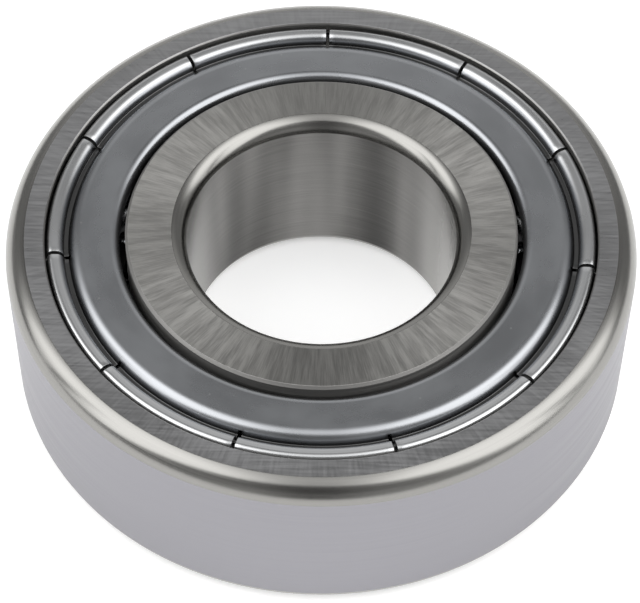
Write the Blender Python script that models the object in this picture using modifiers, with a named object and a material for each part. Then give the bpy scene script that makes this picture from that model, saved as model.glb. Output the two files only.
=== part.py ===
"""Shielded single-row deep groove ball bearing, 15 x 35 x 11 mm, built as it comes apart on a bench.

Metres, +Z up. The bearing's centre is the origin and its axis is +Z, so the bearing lies flat.
The inner ring turns on the axis, the cage carries the balls round it, and each ball spins in its pocket.
"""

import math

import bmesh
import bpy
from mathutils import Matrix

MM = 0.001

# Boundary dimensions of the standard size.
BORE_DIAMETER = 15.0 * MM
OUTSIDE_DIAMETER = 35.0 * MM
WIDTH = 11.0 * MM

# Turned corners of the rings, which meet the ground surfaces at a slight angle, and the light edge breaks.
OUTER_CORNER = 1.1 * MM
BORE_CORNER = 0.8 * MM
CORNER_LEAD = math.radians(12)
SHOULDER_EDGE_BREAK = 0.15 * MM
RECESS_EDGE_BREAK = 0.08 * MM

# Balls and raceways. Groove radius over ball diameter is the conformity.
BALL_COUNT = 8
BALL_DIAMETER = 5.953 * MM
BALL_CLEARANCE = 0.08 * MM
RACEWAY_CONFORMITY = 0.525
INNER_GROOVE_DEPTH = 1.41 * MM
OUTER_GROOVE_DEPTH = 1.38 * MM

# Pressed ribbon cage: two halves riveted together between the balls.
CAGE_SHEET = 0.5 * MM
CAGE_SIDE_GAP = 0.6 * MM
CAGE_JOINT_GAP = 0.04 * MM
POCKET_CLEARANCE = 0.15 * MM
RIVET_EDGE_MARGIN = 0.3 * MM
RIVET_HEAD_OVER_SHANK = 1.65
RIVET_HEAD_HEIGHT = 0.4 * MM
RIVET_CLEARANCE = 0.04 * MM

# Sheet steel shields. An inset is measured down from the rings' side faces, and a bend is its inside radius.
# The step's slope and the inward tilt that crimping leaves on the bead's crest are in degrees.
SHIELD_SHEET = 0.25 * MM
SHIELD_INSET = 0.15 * MM
SHIELD_BORE_GAP = 0.35 * MM
LIP_BEND = 0.03 * MM
LIP_LENGTH = 0.3 * MM
STEP_HEIGHT = 0.6 * MM
STEP_BEND = 0.45 * MM
STEP_SLOPE = 60
CHANNEL_WIDTH = 0.27 * MM
BEAD_INSET = 0.27 * MM
BEAD_WIDTH = 0.9 * MM
BEAD_BEND = 0.07 * MM
BEAD_TILT = 14
BEAD_GAP = 0.2 * MM
HOOK_ANGLE = math.radians(37)
SLOT_COUNT = 11
SLOT_WIDTH = 0.22 * MM
SLOT_RUN_IN = 0.12 * MM

# Recess that each shield snaps into, in the outer ring.
SEAT_WIDTH = 1.12 * MM
SEAT_CLEARANCE = 0.03 * MM
RECESS_LIP = 0.45 * MM
UNDERCUT = 0.3 * MM

# Facets.
RING_SEGMENTS = 44
GROOVE_STEPS = 6
BALL_SEGMENTS = 16
BALL_RINGS = 8
CORNER_STEPS = 3
SHIELD_SEGMENTS = 3 * SLOT_COUNT
BEND_STEPS = 2
CAGE_SEGMENTS = 40
POCKET_SEGMENTS = 14
POCKET_RINGS = 7
RIVET_SEGMENTS = 8
CROWN_STEPS = 2
SMOOTH_BELOW = math.radians(30)
SEAM_MERGE = 0.001 * MM

# Sizes that follow from the ones above.
PITCH_RADIUS = (BORE_DIAMETER + OUTSIDE_DIAMETER) / 4
BALL_RADIUS = BALL_DIAMETER / 2
GROOVE_RADIUS = RACEWAY_CONFORMITY * BALL_DIAMETER
INNER_RACE_RADIUS = PITCH_RADIUS - BALL_RADIUS - BALL_CLEARANCE
OUTER_RACE_RADIUS = PITCH_RADIUS + BALL_RADIUS + BALL_CLEARANCE
INNER_SHOULDER_RADIUS = INNER_RACE_RADIUS + INNER_GROOVE_DEPTH
OUTER_SHOULDER_RADIUS = OUTER_RACE_RADIUS - OUTER_GROOVE_DEPTH
RECESS_RADIUS = OUTER_SHOULDER_RADIUS + SEAT_WIDTH
SEAT_DEPTH = SHIELD_INSET + STEP_HEIGHT + SHIELD_SHEET + SEAT_CLEARANCE
POCKET_RADIUS = BALL_RADIUS + POCKET_CLEARANCE
DOME_RADIUS = POCKET_RADIUS + CAGE_SHEET
BALL_PITCH_ANGLE = math.tau / BALL_COUNT


def steel(name, hex_colour, roughness):
    """A bare steel surface: fully metallic, told apart by its tint and by how finely it is finished."""
    channels = [int(hex_colour[i : i + 2], 16) / 255 for i in (0, 2, 4)]
    linear = [c / 12.92 if c <= 0.04045 else ((c + 0.055) / 1.055) ** 2.4 for c in channels]
    material = bpy.data.materials.new(name)
    material.use_nodes = True
    surface = material.node_tree.nodes["Principled BSDF"]
    surface.inputs["Base Color"].default_value = (*linear, 1.0)
    surface.inputs["Metallic"].default_value = 1.0
    surface.inputs["Roughness"].default_value = roughness
    return material


def arc(centre, radius, start, end, steps):
    """Points (r, z) on a circle's arc, both ends included. Angles are in degrees from the +r direction."""
    points = []
    for i in range(steps + 1):
        angle = math.radians(start + (end - start) * i / steps)
        points.append((centre[0] + radius * math.cos(angle), centre[1] + radius * math.sin(angle)))
    return points


def mirrored(points):
    """The same points below the mid-plane, in the order that carries the outline on round the part."""
    return [(r, -z) for r, z in reversed(points)]


def outline_object(name, points, closed, collection):
    """A chain of edges in the XZ plane, at +X, for a Screw modifier to turn."""
    mesh = bpy.data.meshes.new(name)
    edges = [(i, i + 1) for i in range(len(points) - 1)]
    if closed:
        edges.append((len(points) - 1, 0))
    mesh.from_pydata([(r, 0.0, z) for r, z in points], edges, [])
    obj = bpy.data.objects.new(name, mesh)
    collection.objects.link(obj)
    return obj


def turned(name, points, segments, collection, closed=True):
    """The outline turned once round the Z axis."""
    obj = outline_object(name, points, closed, collection)
    screw = obj.modifiers.new("turn", "SCREW")
    screw.axis = "Z"
    screw.steps = segments
    screw.render_steps = segments
    screw.use_merge_vertices = True
    screw.merge_threshold = SEAM_MERGE
    return obj


def boolean(obj, operation, other):
    """Adds an exact Boolean with another object, which is kept as a helper."""
    modifier = obj.modifiers.new(operation.lower(), "BOOLEAN")
    modifier.operation = operation
    modifier.solver = "EXACT"
    modifier.object = other


def freeze(obj, material):
    """Turns the evaluated modifiers into the object's own mesh, shaded smooth except at its sharp edges."""
    bpy.context.view_layer.update()
    evaluated = obj.evaluated_get(bpy.context.evaluated_depsgraph_get())
    mesh = bpy.data.meshes.new_from_object(evaluated)
    mesh.name = obj.name
    obj.modifiers.clear()
    obj.data = mesh
    mesh.materials.clear()
    mesh.materials.append(material)
    mesh.shade_smooth()
    mesh.set_sharp_from_angle(angle=SMOOTH_BELOW)
    return obj


def helper(obj):
    """Marks a cutter or another helper, which is no part of the bearing."""
    obj.hide_render = True
    obj.display_type = "WIRE"
    return obj


def mesh_from(name, build, collection):
    """An object whose mesh is made by a function that is given an empty bmesh."""
    shape = bmesh.new()
    build(shape)
    mesh = bpy.data.meshes.new(name)
    shape.to_mesh(mesh)
    shape.free()
    obj = bpy.data.objects.new(name, mesh)
    collection.objects.link(obj)
    return obj


def round_the_axis(angle, radius=0.0):
    """The placement at a radius along +X, turned round the bearing's axis."""
    return Matrix.Rotation(angle, 4, "Z") @ Matrix.Translation((radius, 0.0, 0.0))


def turned_corner(radius, size, side):
    """A corner's arc from the side face to the cylinder: side +1 is outside a ring, and -1 is in a bore."""
    bend = size / (math.cos(CORNER_LEAD) - math.sin(CORNER_LEAD))
    inset = bend * math.cos(CORNER_LEAD)
    lead = math.degrees(CORNER_LEAD)
    centre = (radius - side * inset, WIDTH / 2 - inset)
    return arc(centre, bend, 90 - side * lead, 90 - side * (90 - lead), CORNER_STEPS)


def groove(centre_radius, depth, facing):
    """A raceway's arc from its top edge down: facing +1 is cut in the outer ring, and -1 in the inner one."""
    half = facing * math.degrees(math.acos(1 - depth / GROOVE_RADIUS))
    middle = 0 if facing > 0 else 180
    return arc((centre_radius, 0.0), GROOVE_RADIUS, middle + half, middle - half, GROOVE_STEPS)


def outer_ring(collection, material):
    """Rounded outside corners, a shield recess with its undercut at each end, and the outer raceway."""
    face = WIDTH / 2
    corner = turned_corner(OUTSIDE_DIAMETER / 2, OUTER_CORNER, side=1)
    recess = [
        (OUTER_SHOULDER_RADIUS, face - SEAT_DEPTH),
        (RECESS_RADIUS + UNDERCUT, face - SEAT_DEPTH),
        (RECESS_RADIUS, face - RECESS_LIP),
        (RECESS_RADIUS, face - RECESS_EDGE_BREAK),
        (RECESS_RADIUS + RECESS_EDGE_BREAK, face),
    ]
    raceway = groove(OUTER_RACE_RADIUS - GROOVE_RADIUS, OUTER_GROOVE_DEPTH, facing=1)
    profile = corner + mirrored(corner) + mirrored(recess) + raceway[::-1] + recess
    return freeze(turned("outer_ring", profile, RING_SEGMENTS, collection), material)


def inner_ring(collection, material):
    """Rounded bore corners, lightly broken outer edges, and the inner raceway."""
    face = WIDTH / 2
    corner = turned_corner(BORE_DIAMETER / 2, BORE_CORNER, side=-1)[::-1]
    shoulder = [
        (INNER_SHOULDER_RADIUS - SHOULDER_EDGE_BREAK, face),
        (INNER_SHOULDER_RADIUS, face - SHOULDER_EDGE_BREAK),
    ]
    raceway = groove(INNER_RACE_RADIUS + GROOVE_RADIUS, INNER_GROOVE_DEPTH, facing=-1)
    profile = corner + shoulder + raceway + mirrored(shoulder) + mirrored(corner)
    return freeze(turned("inner_ring", profile, RING_SEGMENTS, collection), material)


def bead_radii():
    """The bead's inside and outside radius, and the radius of the step inside the channel."""
    outside = RECESS_RADIUS - BEAD_GAP
    inside = outside - BEAD_WIDTH
    return inside, outside, inside - CHANNEL_WIDTH


def shield_path():
    """The shield's outer skin, as (r, z) from the lip beside the inner ring out to the hook."""
    bore = INNER_SHOULDER_RADIUS + SHIELD_BORE_GAP
    bead_inside, bead_outside, step = bead_radii()
    flat = WIDTH / 2 - SHIELD_INSET
    floor = flat - STEP_HEIGHT
    lip_bend, step_bend, bead_bend = (bend + SHIELD_SHEET for bend in (LIP_BEND, STEP_BEND, BEAD_BEND))
    bead_z = WIDTH / 2 - BEAD_INSET - bead_bend
    slope = math.radians(STEP_SLOPE)
    step_fall = STEP_HEIGHT - step_bend * (1 - math.cos(slope))
    shoulder = step - step_bend * math.sin(slope) - step_fall / math.tan(slope)
    bead_drop = (BEAD_WIDTH - 2 * bead_bend) * math.tan(math.radians(BEAD_TILT))
    crest = 90 + BEAD_TILT
    hook_z = WIDTH / 2 - SEAT_DEPTH + SEAT_CLEARANCE + SHIELD_SHEET * math.cos(HOOK_ANGLE)
    hook = bead_outside + (bead_z - hook_z) / math.tan(HOOK_ANGLE)
    return (
        [(bore, flat - lip_bend - LIP_LENGTH)]
        + arc((bore + lip_bend, flat - lip_bend), lip_bend, 180, 90, BEND_STEPS)
        + arc((shoulder, flat - step_bend), step_bend, 90, 90 - STEP_SLOPE, BEND_STEPS)
        + [(step, floor), (bead_inside, floor)]
        + arc((bead_inside + bead_bend, bead_z - bead_drop), bead_bend, 180, crest, BEND_STEPS)
        + arc((bead_outside - bead_bend, bead_z), bead_bend, crest, 0, BEND_STEPS)
        + [(hook, hook_z)]
    )


def slot_cutters(collection):
    """Narrow radial blades, one for each slot, from the foot of the shield's step out past its hook."""
    start = bead_radii()[2] - SLOT_RUN_IN
    length = OUTSIDE_DIAMETER / 2 - start
    height = WIDTH / 2

    def blades(shape):
        for k in range(SLOT_COUNT):
            angle = math.pi / 2 + k * math.tau / SLOT_COUNT
            place = round_the_axis(angle, start + length / 2) @ Matrix.Translation((0, 0, height))
            size = Matrix.Diagonal((length, SLOT_WIDTH, height, 1.0))
            bmesh.ops.create_cube(shape, size=1.0, matrix=place @ size)

    return helper(mesh_from("slot_blades", blades, collection))


def shields(collection, cutters, material):
    """The pressed steel shields: one sheet turned to shape and slotted, then turned over for below."""
    upper = turned("shield_upper", shield_path(), SHIELD_SEGMENTS, collection, closed=False)
    sheet = upper.modifiers.new("sheet", "SOLIDIFY")
    sheet.thickness = SHIELD_SHEET
    sheet.offset = -1
    sheet.use_even_offset = True
    boolean(upper, "DIFFERENCE", slot_cutters(cutters))
    freeze(upper, material)
    lower = bpy.data.objects.new("shield_lower", upper.data)
    lower.rotation_euler = (0.0, math.pi, 0.0)
    collection.objects.link(lower)
    return [upper, lower]


def balls(collection, material):
    """One sphere mesh shared by every ball, each placed at its own centre so that it spins about itself."""

    def sphere(shape):
        bmesh.ops.create_uvsphere(shape, u_segments=BALL_SEGMENTS, v_segments=BALL_RINGS, radius=BALL_RADIUS)

    made = []
    for k in range(BALL_COUNT):
        name = f"ball_{k + 1}"
        if made:
            ball = bpy.data.objects.new(name, made[0].data)
            collection.objects.link(ball)
        else:
            ball = freeze(mesh_from(name, sphere, collection), material)
        ball.location = round_the_axis(k * BALL_PITCH_ANGLE, PITCH_RADIUS).translation
        made.append(ball)
    return made


def spheres_at_the_balls(name, radius, collection):
    """A sphere round each ball's centre, its poles on the radius so that a ring cuts it into even bands."""

    def build(shape):
        for k in range(BALL_COUNT):
            place = round_the_axis(k * BALL_PITCH_ANGLE, PITCH_RADIUS) @ Matrix.Rotation(math.pi / 2, 4, "Y")
            bmesh.ops.create_uvsphere(
                shape, u_segments=POCKET_SEGMENTS, v_segments=POCKET_RINGS, radius=radius, matrix=place
            )

    return helper(mesh_from(name, build, collection))


def rivet_places():
    """The angles half-way between neighbouring balls."""
    return [(k + 0.5) * BALL_PITCH_ANGLE for k in range(BALL_COUNT)]


def rivet_sizes():
    """(head radius, shank radius) of the widest rivet that the web between two pockets takes."""
    web = 2 * PITCH_RADIUS * math.sin(BALL_PITCH_ANGLE / 2) - 2 * DOME_RADIUS
    ribbon = OUTER_SHOULDER_RADIUS - INNER_SHOULDER_RADIUS - 2 * CAGE_SIDE_GAP
    head = min(web, ribbon) / 2 - RIVET_EDGE_MARGIN
    return head, head / RIVET_HEAD_OVER_SHANK


def rivet_hole_cutters(collection):
    """Pins through the webs, a clearance wider than the rivets' shanks."""
    shank = rivet_sizes()[1]

    def pins(shape):
        for angle in rivet_places():
            bmesh.ops.create_cone(
                shape,
                cap_ends=True,
                segments=RIVET_SEGMENTS,
                radius1=shank + RIVET_CLEARANCE,
                radius2=shank + RIVET_CLEARANCE,
                depth=WIDTH,
                matrix=round_the_axis(angle, PITCH_RADIUS),
            )

    return helper(mesh_from("rivet_hole_pins", pins, collection))


def cage_blank(collection):
    """A flat disc with a dome over each ball: the shape that the cage's tube keeps."""
    web_top = CAGE_JOINT_GAP / 2 + CAGE_SHEET

    def disc(shape):
        bmesh.ops.create_cone(
            shape,
            cap_ends=True,
            segments=CAGE_SEGMENTS,
            radius1=OUTER_SHOULDER_RADIUS,
            radius2=OUTER_SHOULDER_RADIUS,
            depth=2 * web_top,
        )

    blank = helper(mesh_from("cage_blank", disc, collection))
    boolean(blank, "UNION", spheres_at_the_balls("pocket_domes", DOME_RADIUS, collection))
    return blank


def cage_halves(collection, cutters, material):
    """Two pressed halves: a flat ribbon that swells into a round pocket over each ball."""
    inside = INNER_SHOULDER_RADIUS + CAGE_SIDE_GAP
    outside = OUTER_SHOULDER_RADIUS - CAGE_SIDE_GAP
    bottom = CAGE_JOINT_GAP / 2
    top = DOME_RADIUS + CAGE_SHEET
    tube = [(outside, top), (outside, bottom), (inside, bottom), (inside, top)]
    upper = turned("cage_half_upper", tube, CAGE_SEGMENTS, collection)
    boolean(upper, "INTERSECT", cage_blank(cutters))
    boolean(upper, "DIFFERENCE", spheres_at_the_balls("pocket_hollows", POCKET_RADIUS, cutters))
    boolean(upper, "DIFFERENCE", rivet_hole_cutters(cutters))
    freeze(upper, material)
    lower = bpy.data.objects.new("cage_half_lower", upper.data)
    lower.rotation_euler = (math.pi, 0.0, 0.0)
    collection.objects.link(lower)
    return [upper, lower]


def rivets(collection, material):
    """A domed rivet in each web, closed over both halves of the cage."""
    head, shank = rivet_sizes()
    seat = CAGE_JOINT_GAP / 2 + CAGE_SHEET + RIVET_CLEARANCE
    crown = (head**2 + RIVET_HEAD_HEIGHT**2) / (2 * RIVET_HEAD_HEIGHT)
    rim = 90 - math.degrees(math.asin(head / crown))
    upper = arc((0.0, seat + RIVET_HEAD_HEIGHT - crown), crown, 90, rim, CROWN_STEPS) + [(shank, seat)]
    made = []
    for k, angle in enumerate(rivet_places()):
        name = f"rivet_{k + 1}"
        if made:
            rivet = bpy.data.objects.new(name, made[0].data)
            collection.objects.link(rivet)
        else:
            profile = upper + mirrored(upper)
            rivet = freeze(turned(name, profile, RIVET_SEGMENTS, collection, closed=False), material)
        rivet.location = round_the_axis(angle, PITCH_RADIUS).translation
        rivet.rotation_euler = (0.0, 0.0, angle)
        made.append(rivet)
    return made


def axis_empty(name, collection):
    """An empty on the bearing's axis for what turns together."""
    empty = bpy.data.objects.new(name, None)
    empty.empty_display_type = "SINGLE_ARROW"
    empty.empty_display_size = WIDTH
    collection.objects.link(empty)
    return empty


def main():
    for obj in list(bpy.data.objects):
        bpy.data.objects.remove(obj, do_unlink=True)
    parts = bpy.data.collections.new("ball_bearing")
    cutters = bpy.data.collections.new("cutters")
    for collection in (parts, cutters):
        bpy.context.scene.collection.children.link(collection)

    fixed = axis_empty("housing_axis", parts)
    fixed_pieces = [
        outer_ring(parts, steel("ground_outer_ring_steel", "98989a", 0.34)),
        *shields(parts, cutters, steel("cold_rolled_shield_steel", "85898e", 0.3)),
    ]
    turning = axis_empty("shaft_axis", parts)
    turning_pieces = [inner_ring(parts, steel("ground_inner_ring_steel", "918f8b", 0.36))]
    orbit = axis_empty("cage_axis", parts)
    orbit_pieces = [
        *cage_halves(parts, cutters, steel("pressed_strip_steel", "9a9c9e", 0.38)),
        *rivets(parts, steel("headed_rivet_steel", "a3a4a5", 0.3)),
        *balls(parts, steel("polished_ball_steel", "c9cbcd", 0.08)),
    ]
    for empty, pieces in ((fixed, fixed_pieces), (turning, turning_pieces), (orbit, orbit_pieces)):
        for piece in pieces:
            piece.parent = empty


main()
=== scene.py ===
"""Fine pieces and steel finishes for a shielded single-row deep groove ball bearing, 15 x 35 x 11 mm.

Metres, +Z up. The bearing lies flat with its centre at the origin and its axis along +Z.
"""

import math
import random

import bmesh
import bpy
from bpy.props import FloatProperty, IntProperty, PointerProperty, StringProperty
from mathutils import Matrix, Quaternion, Vector


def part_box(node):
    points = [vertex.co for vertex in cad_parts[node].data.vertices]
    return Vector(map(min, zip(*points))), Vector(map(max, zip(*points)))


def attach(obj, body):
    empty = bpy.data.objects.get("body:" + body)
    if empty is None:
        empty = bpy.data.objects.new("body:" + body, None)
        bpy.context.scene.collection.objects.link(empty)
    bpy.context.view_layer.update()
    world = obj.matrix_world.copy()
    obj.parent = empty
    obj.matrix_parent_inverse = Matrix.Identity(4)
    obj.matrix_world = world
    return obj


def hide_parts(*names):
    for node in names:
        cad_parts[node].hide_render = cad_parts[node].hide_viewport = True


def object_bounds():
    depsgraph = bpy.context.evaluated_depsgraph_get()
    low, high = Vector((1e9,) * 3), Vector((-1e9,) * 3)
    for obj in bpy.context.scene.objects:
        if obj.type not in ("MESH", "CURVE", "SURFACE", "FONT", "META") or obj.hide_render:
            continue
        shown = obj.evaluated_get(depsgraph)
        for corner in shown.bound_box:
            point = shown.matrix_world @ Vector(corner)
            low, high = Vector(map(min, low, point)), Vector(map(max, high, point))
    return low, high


bl_info = {
    "name": "Shielded Ball Bearing",
    "version": (1, 0, 0),
    "blender": (4, 5, 0),
    "location": "View3D > Sidebar > Bearing",
    "description": "Builds a shielded ball bearing's fine pieces and their steel finishes",
    "category": "Object",
}

MM = 0.001
UM = 0.001 * MM

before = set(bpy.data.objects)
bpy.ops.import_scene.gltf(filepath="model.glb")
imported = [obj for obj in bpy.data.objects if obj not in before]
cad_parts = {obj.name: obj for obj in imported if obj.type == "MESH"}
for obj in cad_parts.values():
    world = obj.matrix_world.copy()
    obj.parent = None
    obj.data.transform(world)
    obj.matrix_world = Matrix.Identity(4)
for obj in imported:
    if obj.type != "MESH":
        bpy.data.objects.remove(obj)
CAD_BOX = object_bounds()
RING_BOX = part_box("outer_ring")
BALL_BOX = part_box("ball_1")
PITCH_RADIUS = (BALL_BOX[0].x + BALL_BOX[1].x) / 2
BALL_COUNT = sum(1 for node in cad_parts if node.startswith("ball_"))


def length(name, description, default):
    """A size that a user can change, shown in the scene's length unit."""
    return FloatProperty(name=name, description=description, default=default, unit="LENGTH", precision=6)


def angle(name, description, degrees):
    """An angle that a user can change."""
    return FloatProperty(name=name, description=description, default=math.radians(degrees), unit="ROTATION")


def number(name, description, default):
    """A plain number that a user can change."""
    return FloatProperty(name=name, description=description, default=default)


def colour(name, description, hex_value):
    """A colour that a user can change, as an sRGB hex value."""
    return StringProperty(name=name, description=description, default=hex_value)


class RingSizes(bpy.types.PropertyGroup):
    """The two rings, their raceways and the recess that holds each shield."""

    outside: length("Outside diameter", "Across the outer ring", RING_BOX[1].x - RING_BOX[0].x)
    bore: length("Bore diameter", "Across the inner ring's bore", 15.0 * MM)
    width: length("Width", "From side face to side face", RING_BOX[1].z - RING_BOX[0].z)
    outer_corner: length("Outer corner", "Size of the outer ring's rounded corner", 1.1 * MM)
    bore_corner: length("Bore corner", "Size of the inner ring's rounded corner", 0.8 * MM)
    corner_lead: angle("Corner lead", "Angle at which a turned corner meets the ground surfaces", 12)
    shoulder_break: length("Shoulder break", "Chamfer on the inner ring's outer edges", 0.15 * MM)
    recess_break: length("Recess break", "Chamfer on the outer ring's inner edges", 0.08 * MM)
    ball_clearance: length("Ball clearance", "Gap between a ball and each raceway", 0.08 * MM)
    conformity: number("Conformity", "Groove radius over ball diameter", 0.525)
    inner_groove: length("Inner groove depth", "Depth of the inner raceway", 1.41 * MM)
    outer_groove: length("Outer groove depth", "Depth of the outer raceway", 1.38 * MM)
    seat_width: length("Seat width", "Ledge that a shield's channel lies on", 1.12 * MM)
    seat_depth: length("Seat depth", "From the side face down to the ledge", 1.03 * MM)
    recess_lip: length("Recess lip", "Straight wall above the undercut", 0.45 * MM)
    undercut: length("Undercut", "How far the recess widens below its lip", 0.3 * MM)
    edge_bend: length("Edge bend", "Radius left on edges by tumbling", 0.03 * MM)
    segments: IntProperty(name="Segments", description="Steps round each ring", default=240)


class ShieldSizes(bpy.types.PropertyGroup):
    """The pressed sheet steel shields."""

    sheet: length("Sheet", "Thickness of the shield's sheet", 0.25 * MM)
    inset: length("Inset", "From the rings' side faces down to the flat", 0.15 * MM)
    bore_gap: length("Bore gap", "Gap to the inner ring", 0.35 * MM)
    lip_bend: length("Lip bend", "Outer radius of the bend beside the inner ring", 0.5 * MM)
    lip_length: length("Lip length", "Straight part of the lip", 0.3 * MM)
    step_height: length("Step height", "From the flat down to the channel", 0.6 * MM)
    step_bend: length("Step bend", "Outer radius of the shoulder", 0.7 * MM)
    step_slope: angle("Step slope", "Slope from the shoulder down to the channel", 60)
    channel_width: length("Channel width", "Floor between the step and the bead", 0.27 * MM)
    channel_bend: length("Channel bend", "Radius of the channel's corners", 0.06 * MM)
    bead_inset: length("Bead inset", "From the side faces down to the bead", 0.16 * MM)
    bead_width: length("Bead width", "Across the crimped bead", 0.9 * MM)
    bead_edge: length("Bead edge", "Outer radius of the bead's outer edge", 0.3 * MM)
    bead_back: length("Bead back", "Outer radius of the bead's inner side", 0.46 * MM)
    bead_tilt: angle("Bead tilt", "Inward tilt that crimping leaves on the bead's crest", 8)
    bead_gap: length("Bead gap", "Gap between the bead and the recess", 0.12 * MM)
    hook_depth: length("Hook depth", "From the side faces down to the hook's start", 0.605 * MM)
    hook_angle: angle("Hook angle", "Slope of the hook in the undercut", 37)
    seat_clearance: length("Seat clearance", "Gap between the hook and its seat", 0.03 * MM)
    slots: IntProperty(name="Slots", description="Narrow slots round the bead", default=11)
    slot_width: length("Slot width", "Width of a slot at the bead", 0.22 * MM)
    slot_run_in: length("Slot run-in", "How far a slot reaches into the step", 0.12 * MM)
    tab_lift: length("Tab lift", "Most that crimping lifts one tab above another", 0.035 * MM)
    tab_steps: IntProperty(name="Tab steps", description="Steps round each tab", default=24)
    cut_edge: length("Cut edge", "Radius on the sheet's cut edges", 0.02 * MM)


class CageSizes(bpy.types.PropertyGroup):
    """The balls and the riveted ribbon cage."""

    ball: length("Ball diameter", "Diameter of each ball", 5.953 * MM)
    sheet: length("Ribbon", "Thickness of the cage's strip", 0.5 * MM)
    side_gap: length("Side gap", "Gap between the ribbon and each ring's shoulder", 0.6 * MM)
    joint_gap: length("Joint gap", "Gap between the two halves", 0.04 * MM)
    pocket_clearance: length("Pocket clearance", "Gap between a ball and its pocket", 0.15 * MM)
    foot_bend: length("Foot bend", "Inner radius where a pocket meets the web", 0.25 * MM)
    rivet_head: length("Rivet head", "Radius of a rivet's head", 0.76 * MM)
    rivet_shank: length("Rivet shank", "Radius of a rivet's shank", 0.46 * MM)
    head_height: length("Head height", "Height of a rivet's domed head", 0.4 * MM)
    rivet_clearance: length("Rivet clearance", "Gap between a rivet and the strip", 0.04 * MM)
    cut_edge: length("Cut edge", "Radius on the strip's cut edges", 0.04 * MM)


class SteelColours(bpy.types.PropertyGroup):
    """Colours of the bearing's steel surfaces, as sRGB hex values."""

    outer_face: colour("Outer side face", "Ground side faces of the outer ring", "9b9b9c")
    inner_face: colour("Inner side face", "Ground side faces of the inner ring", "9c9b98")
    cylinder: colour("Outside cylinder", "Ground outside diameter", "908f94")
    corner: colour("Turned corners", "Turned and tumbled corners", "8e8d8a")
    bore: colour("Bore", "Ground bore", "858482")
    raceway: colour("Raceways", "Honed raceways", "c6c4c1")
    recess: colour("Recess", "Turned recesses", "8f8e8c")
    shoulder: colour("Inner shoulders", "Turned shoulders of the inner ring", "8a8987")
    shield: colour("Shields", "Cold-rolled shield sheet", "9c9ea1")
    # The bead's lighter colour is a painted highlight; the same colour marks the handling specks.
    speck_and_painted_highlight: colour("Burnished bead", "Shield sheet where the crimping tool rubbed it", "babbbc")
    # Colour of the painted shade laid in each shield's channel.
    painted_shade: colour("Oil", "Old oil held in a shield's channel", "5a5a5a")
    ball: colour("Balls", "Lapped balls", "cfd1d3")
    cage: colour("Cage", "Pressed strip of the cage", "a9abad")
    rivet: colour("Rivets", "Headed rivets", "b3b4b5")
    floor: colour("Floor", "Opal acrylic light table", "ececec")


class StageSettings(bpy.types.PropertyGroup):
    """The camera, the soft lights and the table."""

    lens: FloatProperty(name="Lens", description="Focal length", default=142.57, unit="CAMERA")
    distance: length("Distance", "From the camera to the bearing's centre", 144.43 * MM)
    elevation: angle("Elevation", "Camera's height above the table, as an angle", 53.2)
    azimuth: angle("Azimuth", "Camera's turn round the bearing", 1.0)
    roll: angle("Roll", "Camera's turn about its own line of sight", 0.59)
    aim_down: length("Aim down", "How far below the centre the camera aims, in its own view", 0.82 * MM)
    aim_left: length("Aim left", "How far left of the centre the camera aims", 0.05 * MM)
    softbox: number("Softbox", "Brightness of the box overhead", 2.4)
    middle: number("Middle", "Share of it left in the box's middle", 0.42)
    widening: angle("Widening", "How far the box's edges draw apart at its ends", 36)
    backdrop: number("Backdrop", "Brightness low behind", 0.8)
    upper_back: number("Upper back", "Brightness half-way up behind", 0.26)
    side: number("Side", "Brightness on either side", 0.32)
    front: number("Front", "Brightness low on the camera's side", 0.45)
    table: number("Table", "Light that the table gives off", 0.5)


GROUPS = (
    ("bearing_rings", RingSizes),
    ("bearing_shields", ShieldSizes),
    ("bearing_cage", CageSizes),
    ("bearing_colours", SteelColours),
    ("bearing_stage", StageSettings),
)


# Node trees

SMOOTH = {"interpolation_type": "SMOOTHSTEP"}


def linear(hex_value):
    """An sRGB hex colour as the linear RGBA that a shader takes."""
    channels = [int(hex_value[i : i + 2], 16) / 255 for i in (0, 2, 4)]
    return (*(c / 12.92 if c <= 0.04045 else ((c + 0.055) / 1.055) ** 2.4 for c in channels), 1.0)


def tinted(hex_value, share):
    """The same colour with its linear values multiplied."""
    return (*(c * share for c in linear(hex_value)[:3]), 1.0)


def add(tree, kind, settings=None, links=None):
    """Adds a node, sets its properties or socket values, and links sockets into it."""
    made = tree.nodes.new("ShaderNode" + kind)
    for key, value in (settings or {}).items():
        if isinstance(key, str) and hasattr(made, key):
            setattr(made, key, value)
        else:
            made.inputs[key].default_value = value
    for key, source in (links or {}).items():
        tree.links.new(source, made.inputs[key])
    return made


def bare_steel(name, hex_value, roughness, anisotropic=0.0, turn=0.0):
    """A new metallic material, its tree and its Principled node.

    An anisotropic one has its tangent round the axis, and turn is in whole turns from there.
    """
    material = bpy.data.materials.new(name)
    material.use_nodes = True
    material.diffuse_color = linear(hex_value)
    tree = material.node_tree
    surface = tree.nodes["Principled BSDF"]
    surface.inputs["Base Color"].default_value = linear(hex_value)
    surface.inputs["Metallic"].default_value = 1.0
    surface.inputs["Roughness"].default_value = roughness
    surface.inputs["Anisotropic"].default_value = anisotropic
    surface.inputs["Anisotropic Rotation"].default_value = turn
    if anisotropic:
        tangent = add(tree, "Tangent", {"direction_type": "RADIAL", "axis": "Z"})
        tree.links.new(tangent.outputs[0], surface.inputs["Tangent"])
    return material, tree, surface


def polar(tree):
    """Sockets for the unit direction from the axis, the radius and the height, both in millimetres."""
    place = add(tree, "TexCoord").outputs["Object"]
    parts = add(tree, "SeparateXYZ", links={0: place}).outputs
    flat = add(tree, "CombineXYZ", links={"X": parts["X"], "Y": parts["Y"]}).outputs[0]
    outward = add(tree, "VectorMath", {"operation": "NORMALIZE"}, {0: flat}).outputs["Vector"]
    radius = add(tree, "VectorMath", {"operation": "LENGTH"}, {0: flat}).outputs["Value"]
    to_mm = [add(tree, "Math", {"operation": "MULTIPLY", 1: 1 / MM}, {0: s}) for s in (radius, parts["Z"])]
    return outward, to_mm[0].outputs[0], to_mm[1].outputs[0]


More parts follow.
